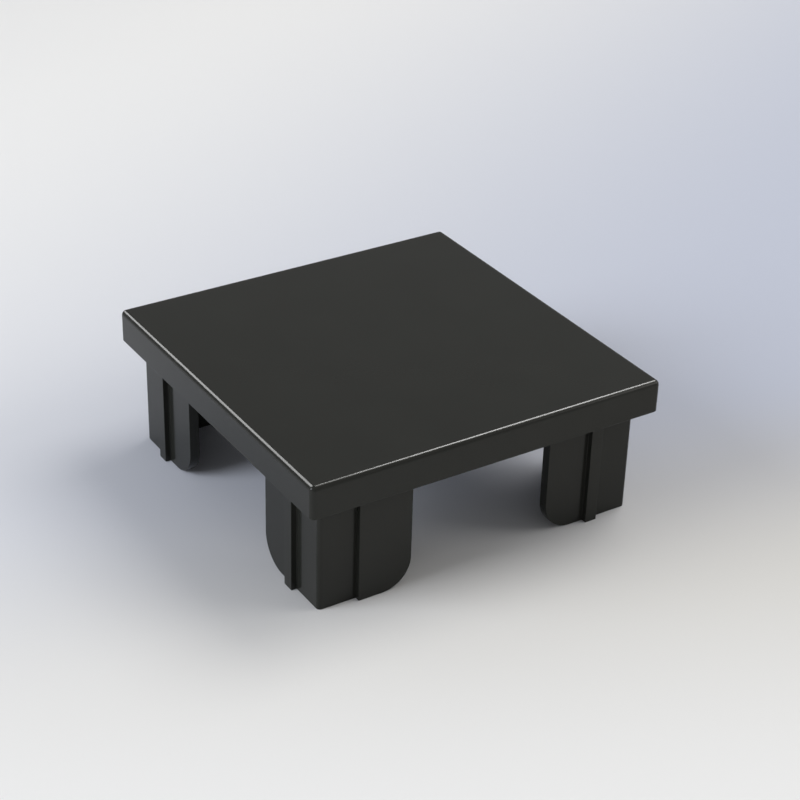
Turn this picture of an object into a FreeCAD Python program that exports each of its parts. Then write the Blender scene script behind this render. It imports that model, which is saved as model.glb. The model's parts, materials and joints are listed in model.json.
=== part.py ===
"""Fence post cap: a flat square plate on four ribbed corner legs that push into a square tube post.

The part is one moulding. It stands on its four feet, with the plate on top, and its origin is at
the middle of the square on which it stands. X and Y run along the plate's sides and Z points up.
Lengths are millimetres.
"""
import FreeCAD, Part

import os

import Sketcher

DRIVING_SIZES = (
    ("post_side", 65.0, "outside width of the square post; the plate is as wide"),
    ("post_wall", 2.0, "wall of the post's tube"),
    ("plug_slack", 0.85, "gap between a leg's wall and the inside of the post"),
    ("rib_bite", 0.1, "how far a rib stands past the inside of the post before it is crushed"),
    ("plate_depth", 5.7, "height of the plate"),
    ("plate_rounding", 0.9, "rounding of the plate's top edges and upright corners"),
    ("skin", 2.4, "plastic left over the hollow under the plate"),
    ("leg_drop", 19.0, "how far the legs reach below the plate"),
    ("leg_reach", 16.6, "length of each of a leg's two walls, from the plug's corner"),
    ("leg_wall", 1.75, "thickness of a leg's walls"),
    ("leg_rounding", 0.7, "rounding of a leg's outer upright corner"),
    ("inner_rounding", 0.8, "rounding of the inner upright corners of the legs and the hollow"),
    ("foot_rounding", 5.2, "large rounding at the bottom of each wall's free end"),
    ("rib_setback", 6.7, "from the plug's corner to the near side of a rib"),
    ("rib_width", 2.2, "width of a crush rib"),
    ("wide_rib_stop", 0.4, "from a wall's free end to the end of its wide rib"),
)
SHEET = "Sizes"
STEP_FOLDER = "parts"
TOUCH = 1e-4


class Length:
    """A length: its present value, and the formula that ties it to the sheet of sizes."""

    def __init__(self, value, formula):
        self.value = value
        self.formula = formula

    def __add__(self, other):
        return Length(self.value + other.value, f"({self.formula} + {other.formula})")

    def __sub__(self, other):
        return Length(self.value - other.value, f"({self.formula} - {other.formula})")

    def __neg__(self):
        return Length(-self.value, f"(-1 * {self.formula})")

    def __truediv__(self, number):
        return Length(self.value / number, f"({self.formula} / {number})")


GROUND = Length(0.0, "0 mm")


def fill_sheet(document):
    """Write the driving sizes into the sheet and return them as lengths, by name."""
    sheet = document.addObject("Spreadsheet::Sheet", SHEET)
    lengths = {}
    for row, (alias, value, meaning) in enumerate(DRIVING_SIZES, start=1):
        sheet.set(f"A{row}", alias.replace("_", " "))
        sheet.set(f"B{row}", str(value))
        sheet.setAlias(f"B{row}", alias)
        sheet.set(f"C{row}", meaning)
        lengths[alias] = Length(value, f"{SHEET}.{alias}")
    return lengths


def origin_plane(body, role):
    """The plane of a body's own origin that has this role, such as XY_Plane."""
    return next(plane for plane in body.Origin.OriginFeatures if plane.Role == role)


def flat_sketch(body, name, role, offset=GROUND):
    """A sketch on a plane of the body's own origin, or so far in front of it."""
    sketch = body.newObject("Sketcher::SketchObject", name)
    sketch.AttachmentSupport = [(origin_plane(body, role), "")]
    sketch.MapMode = "FlatFace"
    if offset is not GROUND:
        sketch.setExpression("AttachmentOffset.Base.z", offset.formula)
    return sketch


def level_sketch(body, name, height=GROUND):
    """A level sketch, on the ground plane or at a height above it."""
    return flat_sketch(body, name, "XY_Plane", height)


def place_line(sketch, line, axis, place):
    """Hold an upright line at its x, or a level line at its y, measured from the origin."""
    if place is GROUND:
        own_axis = {"X": -2, "Y": -1}[axis]
        sketch.addConstraint(Sketcher.Constraint("PointOnObject", line, 1, own_axis))
        return
    origin = (-1, 1)
    if place.value < 0:
        datum = Sketcher.Constraint(f"Distance{axis}", line, 1, *origin, -place.value)
        formula = (-place).formula
    else:
        datum = Sketcher.Constraint(f"Distance{axis}", *origin, line, 1, place.value)
        formula = place.formula
    index = sketch.addConstraint(datum)
    sketch.setExpression(f"Constraints[{index}]", formula)


def draw_outline(sketch, corners):
    """Draw a closed outline of upright and level lines, held by constraints.

    Each corner is (x, y, rounding), in order round the outline; a rounding of None is a sharp corner.
    """
    count = len(corners)
    points = [FreeCAD.Vector(x.value, y.value, 0) for x, y, _ in corners]
    roundings = [rounding for _, _, rounding in corners]

    def step_from(here, there, rounding):
        """The point where the line from one corner to another starts, past its rounding."""
        if rounding is None:
            return points[here]
        along = (points[there] - points[here]).normalize()
        return points[here] + along * rounding.value

    lines = []
    for here, (x, y, _) in enumerate(corners):
        there = (here + 1) % count
        start = step_from(here, there, roundings[here])
        end = step_from(there, here, roundings[there])
        line = sketch.addGeometry(Part.LineSegment(start, end), False)
        upright = abs(start.x - end.x) < TOUCH
        sketch.addConstraint(Sketcher.Constraint("Vertical" if upright else "Horizontal", line))
        place_line(sketch, line, "X" if upright else "Y", x if upright else y)
        lines.append(line)

    for here, rounding in enumerate(roundings):
        before, after = lines[here - 1], lines[here]
        if rounding is None:
            sketch.addConstraint(Sketcher.Constraint("Coincident", before, 2, after, 1))
            continue
        start = sketch.Geometry[before].EndPoint
        end = sketch.Geometry[after].StartPoint
        centre = start + end - points[here]
        middle = centre + (points[here] - centre).normalize() * rounding.value
        arc = sketch.addGeometry(Part.Arc(start, middle, end), False)
        turn = (start - centre).cross(end - centre).z
        first, last = (1, 2) if turn > 0 else (2, 1)
        sketch.addConstraint(Sketcher.Constraint("Tangent", before, 2, arc, first))
        sketch.addConstraint(Sketcher.Constraint("Tangent", arc, last, after, 1))
        radius = sketch.addConstraint(Sketcher.Constraint("Radius", arc, rounding.value))
        sketch.setExpression(f"Constraints[{radius}]", rounding.formula)


def rectangle(low_x, low_y, high_x, high_y, rounding=None):
    """The corners of a rectangle, anticlockwise."""
    corners = ((low_x, low_y), (high_x, low_y), (high_x, high_y), (low_x, high_y))
    return [(x, y, rounding) for x, y in corners]


def extrude(body, kind, name, sketch, length):
    """Pad a sketch so far off its plane, upwards on a level one, or cut it upwards out of the body."""
    feature = body.newObject(f"PartDesign::{kind}", name)
    feature.Profile = sketch
    feature.setExpression("Length", length.formula)
    feature.Reversed = kind == "Pocket"
    feature.Refine = True
    return feature


def edges_where(shape, wanted):
    """The names of a shape's edges that a test accepts."""
    return [f"Edge{index}" for index, edge in enumerate(shape.Edges, start=1) if wanted(edge)]


def round_edges(body, name, base, edges, radius):
    """Round the named edges of the body's last feature."""
    fillet = body.newObject("PartDesign::Fillet", name)
    fillet.Base = (base, edges)
    fillet.setExpression("Radius", radius.formula)
    return fillet


def compare_volume(before, after, grows):
    """Stop where a feature did not add or take away material as it should."""
    change = after.Shape.Volume - before.Shape.Volume
    if (change > TOUCH) != grows or abs(change) < TOUCH:
        raise RuntimeError(f"{after.Label} changed the volume by {change:.3f} mm3")


def build_plate(document, body, size):
    """The square plate: rounded above and at its upright corners, sharp below, and hollow underneath."""
    edge = size["post_side"] / 2
    outline = level_sketch(body, "plate_outline", size["leg_drop"])
    draw_outline(outline, rectangle(-edge, -edge, edge, edge))
    plate = extrude(body, "Pad", "plate", outline, size["plate_depth"])
    document.recompute()

    underside = size["leg_drop"].value

    def is_rounded(line):
        """True for all but the four edges of the underside."""
        return line.BoundBox.ZMax > underside + TOUCH

    names = edges_where(plate.Shape, is_rounded)
    rounded = round_edges(body, "plate_rounded", plate, names, size["plate_rounding"])
    document.recompute()
    compare_volume(plate, rounded, grows=False)

    wall = plug_face(size) - size["leg_wall"]
    hollow_outline = level_sketch(body, "hollow_outline", size["leg_drop"])
    draw_outline(hollow_outline, rectangle(-wall, -wall, wall, wall, size["inner_rounding"]))
    hollow = extrude(body, "Pocket", "hollow", hollow_outline, size["plate_depth"] - size["skin"])
    document.recompute()
    compare_volume(rounded, hollow, grows=False)
    return hollow


def plug_face(size):
    """From the middle to the outer face of the legs' walls: the inside of the post, less the slack."""
    return size["post_side"] / 2 - size["post_wall"] - size["plug_slack"]


def rib_crest(size):
    """From the middle to the crest of the ribs: just past the inside of the post."""
    return plug_face(size) + size["plug_slack"] + size["rib_bite"]


def rib_root(size):
    """From the middle to the root of the ribs, sunk into the wall that carries them."""
    return plug_face(size) - size["leg_wall"] / 2


def rib_near_side(size):
    """From the middle to the side of a rib that faces its leg's corner."""
    return plug_face(size) - size["rib_setback"]


def build_leg(document, body, size, before):
    """One corner leg: two walls that meet in a rounded corner, each with a crush rib down its outside."""
    outer = plug_face(size)
    inner = outer - size["leg_wall"]
    end = outer - size["leg_reach"]
    outline = level_sketch(body, "leg_outline")
    draw_outline(outline, [
        (end, outer, None),
        (end, inner, None),
        (inner, inner, size["inner_rounding"]),
        (inner, end, None),
        (outer, end, None),
        (outer, outer, size["leg_rounding"]),
    ])
    leg = extrude(body, "Pad", "corner_leg", outline, size["leg_drop"])
    document.recompute()
    compare_volume(before, leg, grows=True)

    crest = rib_crest(size)
    root = rib_root(size)
    near = rib_near_side(size)
    far = near - size["rib_width"]
    features = [leg]
    for name, corners in (
        ("rib_on_x_wall", rectangle(far, root, near, crest)),
        ("rib_on_y_wall", rectangle(root, far, crest, near)),
    ):
        rib_outline = level_sketch(body, f"{name}_outline")
        draw_outline(rib_outline, corners)
        features.append(extrude(body, "Pad", name, rib_outline, size["leg_drop"]))
        document.recompute()
        compare_volume(features[-2], features[-1], grows=True)
    return features


def mirror_legs(document, body, leg_features):
    """The other three legs: the first one mirrored across both middle planes of the plate."""
    legs = body.newObject("PartDesign::MultiTransform", "four_legs")
    legs.Originals = leg_features
    mirrors = []
    for name, role in (("mirror_left_right", "YZ_Plane"), ("mirror_front_back", "XZ_Plane")):
        mirror = body.newObject("PartDesign::Mirrored", name)
        mirror.MirrorPlane = (origin_plane(body, role), [""])
        mirrors.append(mirror)
    legs.Transformations = mirrors
    legs.Refine = True
    body.Tip = legs
    document.recompute()
    compare_volume(leg_features[-1], legs, grows=True)
    return legs


def round_feet(document, body, size, legs):
    """The large rounding at the foot of each wall's free end."""
    end = (plug_face(size) - size["leg_reach"]).value

    def is_foot_end(edge):
        """True for the short bottom edge that closes a wall's free end."""
        box = edge.BoundBox
        on_ground = box.ZMax < TOUCH
        across_x_wall = box.XLength < TOUCH and abs(abs(box.Center.x) - end) < TOUCH
        across_y_wall = box.YLength < TOUCH and abs(abs(box.Center.y) - end) < TOUCH
        return on_ground and (across_x_wall or across_y_wall)

    names = edges_where(legs.Shape, is_foot_end)
    feet = round_edges(body, "rounded_feet", legs, names, size["foot_rounding"])
    document.recompute()
    compare_volume(legs, feet, grows=False)
    return feet


def build_wide_rib(document, body, size, feet):
    """The one wide rib: on the front left leg it covers the front wall, nearly to the wall's free end."""
    near = rib_near_side(size)
    far = plug_face(size) - size["leg_reach"] + size["wide_rib_stop"]
    root = rib_root(size)
    outline = flat_sketch(body, "wide_rib_outline", "XZ_Plane", root)
    draw_outline(outline, [
        (-near, GROUND, None),
        (-far, GROUND, size["foot_rounding"]),
        (-far, size["leg_drop"], None),
        (-near, size["leg_drop"], None),
    ])
    wide_rib = extrude(body, "Pad", "wide_rib", outline, rib_crest(size) - root)
    document.recompute()
    compare_volume(feet, wide_rib, grows=True)
    return wide_rib


def build_post_cap(document, size):
    """The whole cap, as one body."""
    body = document.addObject("PartDesign::Body", "post_cap")
    body.Label = "post_cap"
    hollow_plate = build_plate(document, body, size)
    leg_features = build_leg(document, body, size, hollow_plate)
    legs = mirror_legs(document, body, leg_features)
    feet = round_feet(document, body, size, legs)
    body.Tip = build_wide_rib(document, body, size, feet)
    body.Placement = FreeCAD.Placement()
    document.recompute()
    return body


def check_document(document, pieces):
    """Stop where any object of the document failed, or a piece is not one whole solid."""
    for item in document.Objects:
        if {"Invalid", "Error"} & set(item.State):
            raise RuntimeError(f"{item.Label} failed: {item.State}")
    for piece in pieces:
        if piece.Shape.isNull() or not piece.Shape.isValid() or len(piece.Shape.Solids) != 1:
            raise RuntimeError(f"{piece.Label} is not one valid solid")


def main():
    document = FreeCAD.newDocument("fence_post_cap")
    size = fill_sheet(document)
    document.recompute()
    pieces = [build_post_cap(document, size)]
    check_document(document, pieces)
    os.makedirs(STEP_FOLDER, exist_ok=True)
    for piece in pieces:
        piece.Shape.exportStep(os.path.join(STEP_FOLDER, f"{piece.Label}.step"))
        box = piece.Shape.BoundBox
        print(f"{piece.Label}: {box.XLength:.2f} x {box.YLength:.2f} x {box.ZLength:.2f} mm, "
              f"{piece.Shape.Volume / 1000:.2f} cm3")


main()
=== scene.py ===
"""Fence post cap, dressed: one black plastic moulding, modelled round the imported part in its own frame.

The cap is a flat square plate, hollow underneath, on four L-shaped corner legs with crush ribs down
their outsides. Lengths are metres, Z points up, and the cap stands on its feet at the origin.
"""

import json
import math

import bmesh
import bpy
from bpy.props import BoolProperty, FloatProperty, FloatVectorProperty, PointerProperty
from mathutils import Matrix, Vector


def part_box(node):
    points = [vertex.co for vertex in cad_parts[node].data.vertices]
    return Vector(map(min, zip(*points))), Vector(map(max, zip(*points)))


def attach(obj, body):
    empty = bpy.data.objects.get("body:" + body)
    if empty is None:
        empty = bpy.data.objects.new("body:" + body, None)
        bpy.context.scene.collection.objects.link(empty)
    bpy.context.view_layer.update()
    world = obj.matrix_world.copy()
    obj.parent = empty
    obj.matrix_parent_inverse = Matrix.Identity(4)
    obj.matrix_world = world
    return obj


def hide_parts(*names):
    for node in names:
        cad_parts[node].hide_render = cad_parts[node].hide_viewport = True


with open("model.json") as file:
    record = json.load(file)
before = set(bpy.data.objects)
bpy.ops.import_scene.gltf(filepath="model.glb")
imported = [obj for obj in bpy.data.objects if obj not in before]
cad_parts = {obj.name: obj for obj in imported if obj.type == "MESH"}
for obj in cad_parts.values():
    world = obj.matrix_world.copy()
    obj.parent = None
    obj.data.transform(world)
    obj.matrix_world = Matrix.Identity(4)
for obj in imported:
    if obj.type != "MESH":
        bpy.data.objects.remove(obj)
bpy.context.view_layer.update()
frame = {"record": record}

bl_info = {
    "name": "Fence Post Cap",
    "version": (1, 0, 0),
    "blender": (4, 5, 0),
    "location": "View3D > Sidebar > Post Cap",
    "description": "Models a moulded fence post cap, its plastic finish and a plain stage",
    "category": "Object",
}

LOWEST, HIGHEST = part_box("post_cap")
MATERIAL = frame["record"]["materials"][0]

# How near two places are to count as one, and how level a face's normal is to count as level
TOUCH = 1e-6
LEVEL = 0.999

# A direction along no edge or symmetry of the cap, by which the parts of its mesh are put in order
ORDER = Vector((0.4771, 0.3010, 0.8451))

# How many edges and corners of each kind the cap has
PLATE_EDGES = 8
CORNERS = 4
WALLS = 8

# Segments of the roundings, and their round profile
EDGE_STEPS = 6
FOOT_STEPS = 18
SOFT_STEPS = 2
ROUND = 0.5

# Angles between faces: so flat that they are one face, shaded smooth, and sharp enough to be softened
FLAT_ANGLE = math.radians(0.5)
SMOOTH_ANGLE = math.radians(50)
SHARP_ANGLE = math.radians(60)
NORMAL_WEIGHT = 100
CUBIC_CM = 1e-6

# The colour sockets of the Mix node, and the middle and detail of a noise
MIX_FACTOR, MIX_FIRST, MIX_SECOND, MIX_RESULT = 0, 6, 7, 2
NOISE_MIDDLE = 0.5
NOISE_DETAIL = 2.0

# The floor's width, roughness and clearance under the feet, and the nearest thing that the camera sees,
# as a share of its distance
FLOOR_SIDE = 4.0
FLOOR_ROUGHNESS = 0.9
FLOOR_SLACK = 1e-5
NEAREST_SEEN = 0.01

COOL = (0.90, 0.94, 1.0)
WARM = (1.0, 0.98, 0.93)
WHITE = (1.0, 1.0, 1.0)

# For each lamp: azimuth from +Y towards +X and elevation, both in degrees, the width of its face,
# power in watts, colour, and whether it shows in the gloss only
LAMPS = {
    "left": (-80.0, 28.0, 0.5, 4.25, COOL, False),
    "right": (120.0, 28.0, 0.5, 1.68, WARM, False),
    "high": (80.0, 55.0, 0.5, 2.45, WARM, False),
    "left_edge": (-21.0, 41.9, 0.4, 5.0, WHITE, True),
    "right_edge": (74.2, 57.6, 0.22, 3.1, WHITE, True),
}


def length_property(name, default, description):
    """A length that a user may change."""
    return FloatProperty(name=name, description=description, default=default,
                         precision=5, unit="LENGTH")


def number_property(name, default, description):
    """A plain number, nothing or more."""
    return FloatProperty(name=name, description=description, default=default, min=0)


def factor_property(name, default, description):
    """A share between nothing and all."""
    return FloatProperty(name=name, description=description, default=default,
                         min=0, max=1, subtype="FACTOR")


def angle_property(name, degrees, description):
    """An angle, given here in degrees."""
    return FloatProperty(name=name, description=description, default=math.radians(degrees),
                         unit="ROTATION")


def colour_property(name, default, description):
    """A colour, as linear red, green and blue."""
    return FloatVectorProperty(name=name, description=description, default=default,
                               min=0, max=1, size=3, subtype="COLOR")


class PostCapSizes(bpy.types.PropertyGroup):
    """Sizes of the moulding."""

    plate_side: length_property("Plate side", HIGHEST.x - LOWEST.x, "Width of the square plate")
    overall_height: length_property("Overall height", HIGHEST.z - LOWEST.z,
                                    "From the feet to the top of the plate")
    plate_depth: length_property("Plate depth", 0.0057, "Height of the plate's sides")
    plate_rounding: length_property("Plate rounding", 0.0009,
                                    "Rounding of the plate's top edges and upright corners")
    skin: length_property("Skin", 0.0024, "Plastic left above the hollow")
    plug_side: length_property("Plug side", 0.0593, "Width across the outer faces of the legs")
    leg_reach: length_property("Leg reach", 0.0166,
                               "Length of each of a leg's walls, from the plug's corner")
    leg_wall: length_property("Leg wall", 0.00175, "Thickness of a leg's walls")
    leg_rounding: length_property("Leg rounding", 0.0007, "Rounding of a leg's outer upright corner")
    inner_rounding: length_property("Inner rounding", 0.0008, "Rounding of the inner upright corners")
    foot_rounding: length_property("Foot rounding", 0.0052, "Rounding at the foot of each wall's free end")
    rib_setback: length_property("Rib setback", 0.0067, "From the plug's corner to the near side of a rib")
    rib_width: length_property("Rib width", 0.0022, "Width of a crush rib")
    rib_height: length_property("Rib height", 0.00095, "How far a rib stands out of its wall")
    wide_rib_stop: length_property("Wide rib stop", 0.0004,
                                   "From a wall's free end to the end of its wide rib")
    edge_softening: length_property("Edge softening", 0.00008,
                                    "Rounding that a mould leaves on its sharp edges")


class PostCapFinish(bpy.types.PropertyGroup):
    """Finish of the plastic."""

    colour: colour_property("Colour", MATERIAL["base_color"], "Colour of the plastic")
    roughness: factor_property("Roughness", 0.16, "Roughness of the moulded faces")
    specular: factor_property("Specular", 0.2, "Strength of the gloss, where 0.5 is a common clear plastic")
    mottle: factor_property("Mottle", 0.08, "How much the colour and gloss drift over a face")
    ripple: length_property("Ripple", 0.000002, "Height of the fine ripple that moulded faces have")
    drift_scale: number_property("Drift scale", 90.0, "How often the colour and gloss drift, per metre")
    grain_scale: number_property("Grain scale", 2200.0, "How often the fine ripple comes back, per metre")


class PostCapStage(bpy.types.PropertyGroup):
    """The floor, the sky and the camera."""

    floor_colour: colour_property("Floor", (0.873, 0.872, 0.876),
                                  "Colour of the floor in front and far to the left")
    warm_shade: colour_property("Warm shade", (0.533, 0.514, 0.476),
                                "Colour of the shaded band's front part")
    cool_shade: colour_property("Cool shade", (0.524, 0.556, 0.659), "Colour of the shaded band's far part")
    front_turn: angle_property("Front edge turn", 63.3,
                               "Direction in which the band begins, from +X towards +Y")
    front_start: length_property("Front edge start", -0.1036,
                                 "How far that way from the middle the band begins")
    front_width: length_property("Front edge width", 0.1313, "Over what length the band begins")
    far_turn: angle_property("Far edge turn", -62.3, "Direction in which the band begins from its far side")
    far_start: length_property("Far edge start", -0.167, "How far that way from the middle the band begins")
    far_width: length_property("Far edge width", 0.2074,
                               "Over what length the band begins from its far side")
    cool_turn: angle_property("Cool turn", 78.3, "Direction in which the band turns cool")
    cool_start: length_property("Cool start", -0.057,
                                "How far that way from the middle the band begins to turn cool")
    cool_width: length_property("Cool width", 0.067, "Over what length the band turns cool")
    sky_strength: number_property("Sky", 0.33, "Strength of the light from all round")
    azimuth: angle_property("Azimuth", 33.0145, "Where the camera looks, from +Y towards +X")
    elevation: angle_property("Elevation", 30.1327, "How far the camera looks down")
    roll: angle_property("Roll", 1.6824, "Turn of the camera about its own line of sight")
    distance: length_property("Distance", 0.341858, "From the feet's middle back to the camera")
    sideways: length_property("Sideways", 0.002922, "How far the camera stands to the right")
    lift: length_property("Lift", 0.01217,
                          "How far the camera stands up from the line through the feet's middle")
    focal_length: number_property("Focal length", 89.72, "In millimetres, on a 36 mm sensor")


def lamp_properties():
    """The settings of every lamp in the table."""
    settings = {"distance": length_property("Distance", 0.8, "From the feet's middle to each lamp")}
    for lamp, (azimuth, elevation, width, power, colour, gloss_only) in LAMPS.items():
        label = lamp.replace("_", " ").capitalize()
        settings |= {
            f"{lamp}_azimuth": angle_property(f"{label} azimuth", azimuth,
                                              "Where the lamp is, from +Y towards +X"),
            f"{lamp}_elevation": angle_property(f"{label} elevation", elevation, "How high up the lamp is"),
            f"{lamp}_width": length_property(f"{label} width", width, "Width of the lamp's round face"),
            f"{lamp}_power": number_property(f"{label} power", power, "Power of the lamp, in watts"),
            f"{lamp}_colour": colour_property(f"{label} colour", colour, "Colour of the lamp's light"),
            f"{lamp}_gloss_only": BoolProperty(
                name=f"{label} in gloss only", default=gloss_only,
                description="Show the lamp in the gloss, without lighting anything"),
        }
    return settings


class PostCapLamps(bpy.types.PropertyGroup):
    """The lamps: soft ones that light the cap, and ones that only draw the bright lines on its edges."""

    __annotations__ = lamp_properties()


def deselect_all():
    """Leave nothing selected."""
    bpy.ops.object.select_all(action="DESELECT")


def select_parts(piece, kind, wanted, expected=None):
    """Select only the faces or edges of the mesh in edit mode that a test accepts."""
    bpy.ops.mesh.select_mode(type=kind)
    bpy.ops.mesh.select_all(action="DESELECT")
    mesh = bmesh.from_edit_mesh(piece.data)
    chosen = [part for part in (mesh.faces if kind == "FACE" else mesh.edges) if wanted(part)]
    if not chosen or expected not in (None, len(chosen)):
        raise RuntimeError(f"{piece.name}: {len(chosen)} selected, {expected or 'some'} expected")
    for part in chosen:
        part.select_set(True)
    mesh.select_flush_mode()
    bmesh.update_edit_mesh(piece.data)


def put_in_order(piece):
    """Sort the mesh in edit mode by place, because some operators leave it in another order each run."""
    mesh = bmesh.from_edit_mesh(piece.data)
    mesh.verts.sort(key=lambda corner: corner.co.dot(ORDER))
    mesh.edges.sort(key=lambda edge: (edge.verts[0].co + edge.verts[1].co).dot(ORDER))
    mesh.faces.sort(key=lambda face: face.calc_center_median().dot(ORDER))
    bmesh.update_edit_mesh(piece.data)


def from_middle(point):
    """The larger and the smaller of a point's distances from the two upright middle planes."""
    across, along = abs(point.x), abs(point.y)
    return max(across, along), min(across, along)


def faces_down_at(height):
    """A test for level faces at a height that look down."""
    return lambda face: face.normal.z < -LEVEL and abs(face.calc_center_median().z - height) < TOUCH


def is_upright(edge):
    """True for an edge that stands straight up."""
    start, end = (corner.co for corner in edge.verts)
    return (start.xy - end.xy).length < TOUCH


def round_edges(piece, wanted, expected, radius, steps):
    """Round the edges that a test accepts."""
    select_parts(piece, "EDGE", wanted, expected)
    bpy.ops.mesh.bevel(offset_type="OFFSET", offset=radius, segments=steps, profile=ROUND,
                       affect="EDGES", clamp_overlap=False)
    put_in_order(piece)


class CapMarks:
    """Where the features of the cap lie: distances from the middle planes, and heights."""

    def __init__(self, size):
        self.rim = size.plate_side / 2
        self.outer = size.plug_side / 2
        self.inner = self.outer - size.leg_wall
        self.root = self.outer - size.leg_wall / 2
        self.crest = self.outer + size.rib_height
        self.free_end = self.outer - size.leg_reach
        self.rib_near = self.outer - size.rib_setback
        self.rib_far = self.rib_near - size.rib_width
        self.wide_rib_end = self.free_end + size.wide_rib_stop
        self.foot = LOWEST.z
        self.top = self.foot + size.overall_height
        self.underside = self.top - size.plate_depth
        self.ceiling = self.top - size.skin

    def cuts(self):
        """Distances from the middle at which the underside is cut into cells."""
        return self.free_end, self.rib_far, self.rib_near, self.inner, self.outer, self.crest

    def in_hollow(self, point):
        """True inside the hollow under the plate."""
        far, _ = from_middle(point)
        return far < self.inner

    def in_leg(self, point):
        """True on the footprint of a leg or one of its narrow ribs."""
        far, near = from_middle(point)
        in_wall = self.inner < far < self.outer and near > self.free_end
        in_rib = self.outer < far < self.crest and self.rib_far < near < self.rib_near
        on_wide_rib_wall = point.x < 0 and point.y < -self.outer
        return in_wall or (in_rib and not on_wide_rib_wall)

    def upright_at(self, place):
        """A test for the upright edges in the corners of a square that reaches so far from the middle."""
        def wanted(edge):
            far, near = from_middle(edge.verts[0].co)
            return is_upright(edge) and abs(far - place) < TOUCH and abs(near - place) < TOUCH
        return wanted

    def is_plate_edge(self, edge):
        """True for the plate's top edges and its upright corners."""
        on_top = all(abs(corner.co.z - self.top) < TOUCH for corner in edge.verts)
        return on_top or self.upright_at(self.rim)(edge)

    def foot_end_at(self, place):
        """A test for the bottom edges that close a wall or a rib at a distance from its middle plane."""
        def wanted(edge):
            corners = [corner.co for corner in edge.verts]
            return all(abs(corner.z - self.foot) < TOUCH and abs(from_middle(corner)[1] - place) < TOUCH
                       for corner in corners)
        return wanted


def add_block(name, low, high):
    """A new block between two heights and two distances, alone in edit mode."""
    deselect_all()
    bpy.ops.mesh.primitive_cube_add(size=1, location=(low + high) / 2, scale=high - low)
    block = bpy.context.object
    block.name = block.data.name = name
    bpy.ops.object.transform_apply(location=True, rotation=True, scale=True)
    bpy.ops.object.mode_set(mode="EDIT")
    return block


def cut_underside(cap, marks):
    """Cut the underside into cells along the edges of the hollow, the legs and the ribs."""
    for axis in (Vector((1, 0, 0)), Vector((0, 1, 0))):
        for distance in marks.cuts():
            for side in (-1, 1):
                select_parts(cap, "FACE", faces_down_at(marks.underside))
                bpy.ops.mesh.bisect(plane_co=axis * side * distance, plane_no=axis)


def draw_cells(cap, marks, inside, rise):
    """Push the cells of the underside that a test accepts up or down."""
    at_underside = faces_down_at(marks.underside)
    select_parts(cap, "FACE", lambda face: at_underside(face) and inside(face.calc_center_median()))
    bpy.ops.mesh.extrude_region_move(TRANSFORM_OT_translate={"value": (0, 0, rise)})
    put_in_order(cap)


def join_cells(piece):
    """Join the cells that are still level with each other, and drop the points between them."""
    put_in_order(piece)
    bpy.ops.mesh.select_all(action="SELECT")
    bpy.ops.mesh.dissolve_limited(angle_limit=FLAT_ANGLE)
    put_in_order(piece)


def soften(piece, size):
    """Round whatever is still sharp by a little, as a mould does."""
    round_edges(piece, lambda edge: edge.calc_face_angle(0) > SHARP_ANGLE, None,
                size.edge_softening, SOFT_STEPS)


def round_cap(cap, marks, size):
    """Round the plate, the legs' corners and the feet, then soften what is still sharp."""
    round_edges(cap, marks.is_plate_edge, PLATE_EDGES, size.plate_rounding, EDGE_STEPS)
    round_edges(cap, marks.upright_at(marks.outer), CORNERS, size.leg_rounding, EDGE_STEPS)
    round_edges(cap, marks.upright_at(marks.inner), None, size.inner_rounding, EDGE_STEPS)
    round_edges(cap, marks.foot_end_at(marks.free_end), WALLS, size.foot_rounding, FOOT_STEPS)
    soften(cap, size)


def add_wide_rib(marks, size):
    """The one wide rib, as a block that is rooted in the plate and in the front left leg's front wall."""
    low = Vector((-marks.rib_near, -marks.crest, marks.foot))
    high = Vector((-marks.wide_rib_end, -marks.root, marks.underside + size.rib_height))
    rib = add_block("wide_rib", low, high)
    round_edges(rib, marks.foot_end_at(marks.wide_rib_end), 1, size.foot_rounding, FOOT_STEPS)
    soften(rib, size)
    bpy.ops.object.mode_set(mode="OBJECT")
    return rib


def join_solids(piece, other):
    """Join a second closed mesh to the first, without what lies inside."""
    deselect_all()
    bpy.context.view_layer.objects.active = piece
    piece.select_set(True)
    bpy.ops.object.modifier_add(type="BOOLEAN")
    modifier = piece.modifiers[-1]
    modifier.operation = "UNION"
    modifier.solver = "EXACT"
    modifier.object = other
    bpy.ops.object.modifier_apply(modifier=modifier.name)
    bpy.data.meshes.remove(other.data)
    bpy.ops.object.mode_set(mode="EDIT")
    join_cells(piece)
    bpy.ops.object.mode_set(mode="OBJECT")


def check_closed(piece):
    """Stop where a mesh is open or inside out."""
    mesh = bmesh.new()
    mesh.from_mesh(piece.data)
    open_edges = sum(not edge.is_manifold for edge in mesh.edges)
    volume = mesh.calc_volume(signed=True)
    mesh.free()
    if open_edges or volume <= 0:
        raise RuntimeError(f"{piece.name}: {open_edges} open edges, volume {volume}")
    print(f"{piece.name}: {volume / CUBIC_CM:.3f} cm3")


def shade(piece):
    """Smooth the roundings and keep the flat faces flat."""
    bpy.ops.object.shade_smooth_by_angle(angle=SMOOTH_ANGLE)
    bpy.ops.object.modifier_add(type="WEIGHTED_NORMAL")
    modifier = piece.modifiers[-1]
    modifier.weight = NORMAL_WEIGHT
    modifier.keep_sharp = True
    bpy.ops.object.modifier_apply(modifier=modifier.name)


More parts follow.
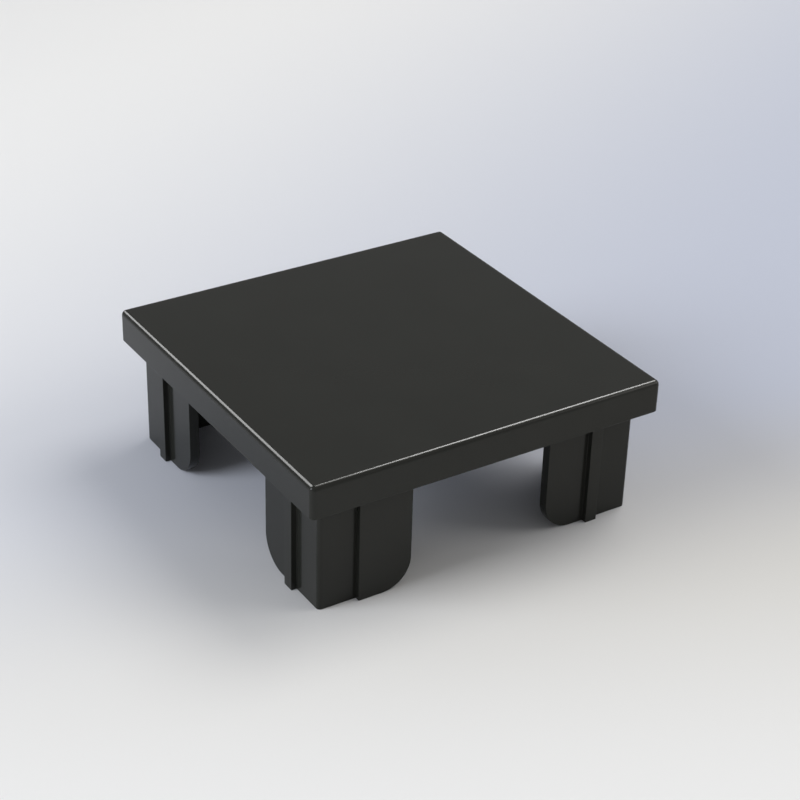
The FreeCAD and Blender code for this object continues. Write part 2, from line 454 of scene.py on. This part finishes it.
class POSTCAP_OT_mould_cap(bpy.types.Operator):
    """Model the cap: the plate and its hollow, the four corner legs and their crush ribs"""

    bl_idname = "post_cap.mould_cap"
    bl_label = "Moulded cap"

    def execute(self, context):
        size = context.scene.post_cap_sizes
        marks = CapMarks(size)
        low = Vector((-marks.rim, -marks.rim, marks.underside))
        high = Vector((marks.rim, marks.rim, marks.top))
        cap = add_block("moulded_cap", low, high)
        cut_underside(cap, marks)
        draw_cells(cap, marks, marks.in_hollow, marks.ceiling - marks.underside)
        draw_cells(cap, marks, marks.in_leg, marks.foot - marks.underside)
        join_cells(cap)
        round_cap(cap, marks, size)
        bpy.ops.object.mode_set(mode="OBJECT")
        join_solids(cap, add_wide_rib(marks, size))
        check_closed(cap)
        shade(cap)
        cap.data.materials.append(black_plastic(context.scene.post_cap_finish))
        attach(cap, "root")
        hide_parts("post_cap")
        return {"FINISHED"}


class Value:
    """One output of a shader node; maths on it adds Math nodes."""

    def __init__(self, shader, socket):
        self.shader = shader
        self.socket = socket

    def maths(self, operation, *inputs):
        """A Math node on these inputs."""
        return self.shader.add("ShaderNodeMath", {"operation": operation}, dict(enumerate(inputs)))

    def __add__(self, other):
        return self.maths("ADD", self, other)

    def __sub__(self, other):
        return self.maths("SUBTRACT", self, other)

    def __rsub__(self, other):
        return self.maths("SUBTRACT", other, self)

    def __mul__(self, other):
        return self.maths("MULTIPLY", self, other)

    __radd__ = __add__
    __rmul__ = __mul__

    def rise(self, start, width):
        """From nothing to one over a width from a start, softly at both ends."""
        return self.shader.add("ShaderNodeMapRange", {"interpolation_type": "SMOOTHSTEP"},
                               {"Value": self, "From Min": start, "From Max": start + width})


class Shader:
    """A material's node tree, empty at first."""

    def __init__(self, owner):
        owner.use_nodes = True
        self.tree = owner.node_tree
        self.tree.nodes.clear()

    def add(self, kind, settings=None, inputs=None, output=0):
        """Add a node: its settings first, then the values or links of its sockets."""
        node = self.tree.nodes.new(kind)
        for name, value in (settings or {}).items():
            setattr(node, name, value)
        for name, value in (inputs or {}).items():
            if isinstance(value, Value):
                self.tree.links.new(value.socket, node.inputs[name])
            else:
                node.inputs[name].default_value = value
        return Value(self, node.outputs[output]) if node.outputs else None

    def along(self, place, turn):
        """How far a place lies in a level direction, given as an angle from +X towards +Y."""
        across, ahead = (self.add("ShaderNodeSeparateXYZ", None, {"Vector": place}, output=axis)
                         for axis in ("X", "Y"))
        return across * math.cos(turn) + ahead * math.sin(turn)

    def mix_colours(self, factor, *colours):
        """A colour between two colours, each given as red, green and blue or as a node's output."""
        first, second = (colour if isinstance(colour, Value) else (*colour, 1) for colour in colours)
        return self.add("ShaderNodeMix", {"data_type": "RGBA"},
                        {MIX_FACTOR: factor, MIX_FIRST: first, MIX_SECOND: second}, output=MIX_RESULT)


def black_plastic(finish):
    """Black semi-gloss moulded plastic, near even: a faint drift in tone and gloss and a fine ripple."""
    material = bpy.data.materials.new("black_plastic")
    shader = Shader(material)
    place = shader.add("ShaderNodeTexCoord", output="Object")
    drift, grain = (
        shader.add("ShaderNodeTexNoise", None, {"Vector": place, "Scale": scale, "Detail": NOISE_DETAIL})
        for scale in (finish.drift_scale, finish.grain_scale)
    )
    darker, lighter = ([part * share for part in finish.colour]
                       for share in (1 - finish.mottle, 1 + finish.mottle))
    bump = shader.add("ShaderNodeBump", None,
                      {"Strength": 1.0, "Distance": finish.ripple, "Height": grain})
    surface = shader.add("ShaderNodeBsdfPrincipled", None, {
        "Base Color": shader.mix_colours(drift, darker, lighter),
        "Roughness": finish.roughness + (drift - NOISE_MIDDLE) * finish.mottle,
        "Specular IOR Level": finish.specular,
        "Normal": bump,
    })
    shader.add("ShaderNodeOutputMaterial", None, {"Surface": surface})
    return material


def floor_material(stage):
    """Plain pale floor with a wide faint band of shade across its middle, warm in front and cool behind."""
    material = bpy.data.materials.new("pale_floor")
    shader = Shader(material)
    place = shader.add("ShaderNodeTexCoord", output="Object")
    front, far, cool = (
        shader.along(place, turn).rise(start, width)
        for turn, start, width in (
            (stage.front_turn, stage.front_start, stage.front_width),
            (stage.far_turn, stage.far_start, stage.far_width),
            (stage.cool_turn, stage.cool_start, stage.cool_width),
        )
    )
    shade = shader.mix_colours(cool, stage.warm_shade, stage.cool_shade)
    surface = shader.add("ShaderNodeBsdfPrincipled", None, {
        "Base Color": shader.mix_colours(front * far, stage.floor_colour, shade),
        "Roughness": FLOOR_ROUGHNESS,
        "Specular IOR Level": 0.0,
    })
    shader.add("ShaderNodeOutputMaterial", None, {"Surface": surface})
    return material


def lay_floor(stage):
    """A wide pale floor under the feet."""
    deselect_all()
    bpy.ops.mesh.primitive_plane_add(size=FLOOR_SIDE, location=(0, 0, LOWEST.z - FLOOR_SLACK))
    floor = bpy.context.object
    floor.name = "floor"
    floor.data.materials.append(floor_material(stage))


def hang_lamp(lamps, name):
    """A round lamp that faces the cap."""
    turn, rise, width, power, colour, gloss_only = (
        getattr(lamps, f"{name}_{setting}")
        for setting in ("azimuth", "elevation", "width", "power", "colour", "gloss_only")
    )
    aim = Vector((math.sin(turn) * math.cos(rise), math.cos(turn) * math.cos(rise), math.sin(rise)))
    deselect_all()
    bpy.ops.object.light_add(type="AREA", location=aim * lamps.distance)
    lamp = bpy.context.object
    lamp.name = f"{name}_lamp"
    lamp.rotation_euler = aim.to_track_quat("Z", "Y").to_euler()
    lamp.data.shape = "DISK"
    lamp.data.size = width
    lamp.data.energy = power
    lamp.data.color = colour
    lamp.visible_diffuse = not gloss_only


def light_sky(stage):
    """Soft grey light from all round."""
    world = bpy.data.worlds.new("studio")
    bpy.context.scene.world = world
    shader = Shader(world)
    sky = shader.add("ShaderNodeBackground", None,
                     {"Color": (*WHITE, 1), "Strength": stage.sky_strength})
    shader.add("ShaderNodeOutputWorld", None, {"Surface": sky})


def place_camera(stage):
    """The camera at the photograph's view."""
    turn, dip = stage.azimuth, stage.elevation
    forward = Vector((math.sin(turn) * math.cos(dip), math.cos(turn) * math.cos(dip), -math.sin(dip)))
    right = Vector((math.cos(turn), -math.sin(turn), 0))
    up = right.cross(forward)
    tilt = Matrix.Rotation(stage.roll, 3, -forward)
    deselect_all()
    bpy.ops.object.camera_add()
    camera = bpy.context.object
    camera.name = "camera"
    camera.data.lens = stage.focal_length
    axes = Matrix((tilt @ right, tilt @ up, -forward)).transposed()
    camera.matrix_world = axes.to_4x4()
    camera.location = right * stage.sideways + up * stage.lift - forward * stage.distance
    camera.data.clip_start = stage.distance * NEAREST_SEEN
    bpy.context.scene.camera = camera


class POSTCAP_OT_set_stage(bpy.types.Operator):
    """Lay the floor, hang the lamps and place the camera"""

    bl_idname = "post_cap.set_stage"
    bl_label = "Stage"

    def execute(self, context):
        stage = context.scene.post_cap_stage
        lay_floor(stage)
        light_sky(stage)
        for name in LAMPS:
            hang_lamp(context.scene.post_cap_lamps, name)
        place_camera(stage)
        context.scene.view_settings.view_transform = "Standard"
        return {"FINISHED"}


class POSTCAP_PT_sidebar(bpy.types.Panel):
    """Sizes, finish and stage of the post cap."""

    bl_idname = "POSTCAP_PT_sidebar"
    bl_label = "Fence Post Cap"
    bl_space_type = "VIEW_3D"
    bl_region_type = "UI"
    bl_category = "Post Cap"

    def draw(self, context):
        for group in GROUPS:
            box = self.layout.box()
            settings = getattr(context.scene, group)
            for name in settings.bl_rna.properties.keys():
                if name not in ("rna_type", "name"):
                    box.prop(settings, name)
        for operator in OPERATORS:
            self.layout.operator(operator.bl_idname)


GROUPS = {
    "post_cap_sizes": PostCapSizes,
    "post_cap_finish": PostCapFinish,
    "post_cap_stage": PostCapStage,
    "post_cap_lamps": PostCapLamps,
}
OPERATORS = (POSTCAP_OT_mould_cap, POSTCAP_OT_set_stage)
CLASSES = (*GROUPS.values(), *OPERATORS, POSTCAP_PT_sidebar)


def register():
    """Make the settings, the operators and the panel known."""
    for item in CLASSES:
        bpy.utils.register_class(item)
    for name, group in GROUPS.items():
        setattr(bpy.types.Scene, name, PointerProperty(type=group))


def unregister():
    """Take them away again."""
    for name in GROUPS:
        delattr(bpy.types.Scene, name)
    for item in reversed(CLASSES):
        bpy.utils.unregister_class(item)


def main():
    """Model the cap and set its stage."""
    register()
    bpy.ops.post_cap.mould_cap()
    bpy.ops.post_cap.set_stage()


if __name__ == "__main__":
    main()
